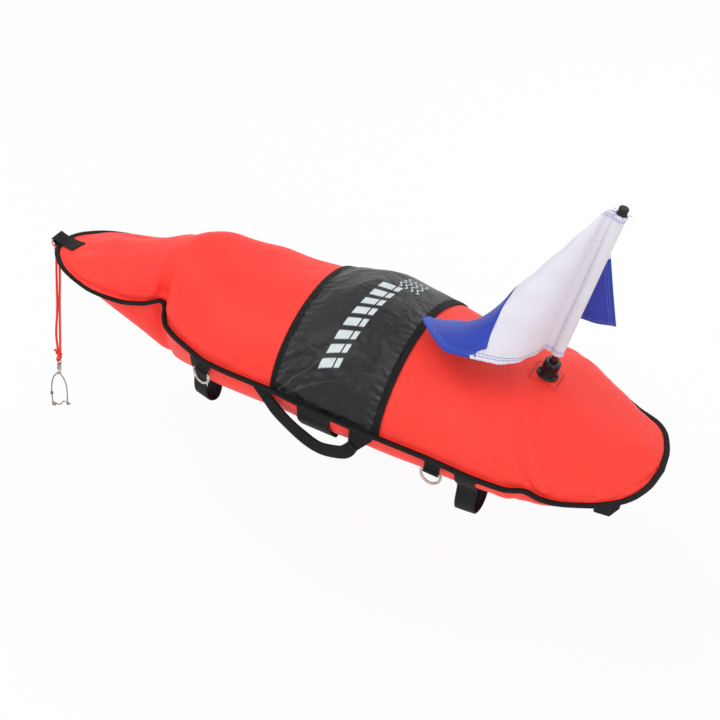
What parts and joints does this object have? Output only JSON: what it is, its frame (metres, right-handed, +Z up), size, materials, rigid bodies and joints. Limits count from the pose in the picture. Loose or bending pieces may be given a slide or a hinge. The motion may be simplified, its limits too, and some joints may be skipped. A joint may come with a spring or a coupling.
{
  "type": "inflatable dive flag float",
  "caption": "Inflatable torpedo dive float with a bound seam, a swallowtail flag on a mast, a carry handle, D-rings, belly loops and a nose lanyard with a swivel clip.",
  "frame": {"origin": "middle of the hull's length and width, on the plane of its seam, which is also about its waterline", "axes": "+X runs from the nose to the tail, +Y away from the side with the handle and D-rings, +Z up"},
  "size_m": [1.0282, 0.335, 0.7282],
  "materials": {
    "red_coated_fabric": "smooth coated",
    "black_webbing": "woven",
    "black_nylon": "plain weave",
    "black_plastic": "moulded",
    "black_rubber": "matt",
    "black_glass_fibre": "smooth",
    "white_flag_cloth": "plain weave",
    "blue_flag_cloth": "plain weave",
    "red_cord": "braided",
    "nickel_plated_steel": "polished",
    "stainless_wire": "drawn"
  },
  "bodies": {
    "float": {"hull_top_panel": "red_coated_fabric", "hull_bottom_panel": "red_coated_fabric", "seam_binding": "black_webbing", "band_panel": "black_nylon", "band_front_binding": "black_webbing", "band_rear_binding": "black_webbing", "mast_patch": "red_coated_fabric", "mast_socket": "black_plastic", "mast_seal": "black_rubber", "nose_tab": "black_webbing", "d_ring_tab_front": "black_webbing", "d_ring_tab_rear": "black_webbing", "belly_loop_front": "black_webbing", "belly_loop_middle": "black_webbing", "belly_loop_rear": "black_webbing", "tail_tab": "black_webbing", "valve_body": "black_plastic"},
    "nut": {"mast_nut": "black_plastic"},
    "mast": {"mast_rod": "black_glass_fibre", "mast_tip_cap": "black_rubber"},
    "flag": {"flag_sleeve": "white_flag_cloth", "flag_white_panel": "white_flag_cloth", "flag_blue_panel": "blue_flag_cloth"},
    "ring_at_nose": {"nose_ring": "nickel_plated_steel"},
    "lanyard": {"lanyard_top_knot": "red_cord", "lanyard_strand_left": "red_cord", "lanyard_strand_right": "red_cord", "lanyard_bottom_knot": "red_cord", "swivel_upper_eye": "nickel_plated_steel", "swivel_barrel": "nickel_plated_steel"},
    "clip": {"swivel_lower_eye": "nickel_plated_steel", "clip_bow": "stainless_wire", "clip_bead": "nickel_plated_steel"},
    "latch": {"clip_latch": "stainless_wire"},
    "handle": {"handle_grip": "black_webbing", "handle_front_end": "black_webbing", "handle_rear_end": "black_webbing"},
    "ring_at_front": {"d_ring_front": "nickel_plated_steel"},
    "ring_at_rear": {"d_ring_rear": "nickel_plated_steel"},
    "cap": {"valve_cap": "black_plastic"},
    "flap": {"valve_flap": "black_rubber"}
  },
  "joints": [
    {"name": "mast_nut_turn", "type": "hinge", "parent": "float", "child": "nut", "pos_m": [0.3094, 0, 0.0883], "axis": [0.1616, 0, 0.9869], "range_deg": [0, 360]},
    {"name": "mast_pull", "type": "slide", "parent": "float", "child": "mast", "axis": [0.1616, 0, 0.9869], "range_m": [0, 0.045]},
    {"name": "flag_turn", "type": "hinge", "parent": "mast", "child": "flag", "pos_m": [0.3094, 0, 0.0883], "axis": [0.1616, 0, 0.9869], "continuous": true},
    {"name": "nose_ring_swing", "type": "hinge", "parent": "float", "child": "ring_at_nose", "pos_m": [-0.508, 0, 0.006], "axis": [0, 1, 0], "range_deg": [-15, 60]},
    {"name": "lanyard_swing", "type": "hinge", "parent": "ring_at_nose", "child": "lanyard", "pos_m": [-0.508, 0, -0.0116], "axis": [0, 1, 0], "range_deg": [-20, 60]},
    {"name": "clip_turn", "type": "hinge", "parent": "lanyard", "child": "clip", "pos_m": [-0.508, 0, -0.2626], "axis": [0, 0, 1], "continuous": true},
    {"name": "latch_open", "type": "hinge", "parent": "clip", "child": "latch", "pos_m": [-0.5195, 0, -0.3441], "axis": [0, -1, 0], "range_deg": [0, 60]},
    {"name": "d_ring_front_swing", "type": "hinge", "parent": "float", "child": "ring_at_front", "pos_m": [-0.16, -0.1398, -0.0215], "axis": [0.9641, -0.2654, 0], "range_deg": [-110, 15]},
    {"name": "d_ring_rear_swing", "type": "hinge", "parent": "float", "child": "ring_at_rear", "pos_m": [0.216, -0.1573, -0.0215], "axis": [0.9988, -0.0496, 0], "range_deg": [-110, 15]},
    {"name": "handle_swing", "type": "hinge", "parent": "float", "child": "handle", "pos_m": [0.0225, -0.1503, -0.0052], "axis": [0.9978, -0.066, 0], "range_deg": [-65, 10]},
    {"name": "valve_cap_turn", "type": "hinge", "parent": "float", "child": "cap", "pos_m": [0.1, 0.025, -0.0889], "axis": [0, 0, -1], "range_deg": [0, 360]},
    {"name": "valve_flap_lift", "type": "slide", "parent": "float", "child": "flap", "axis": [0, 0, 1], "range_m": [0, 0.0025]}
  ]
}
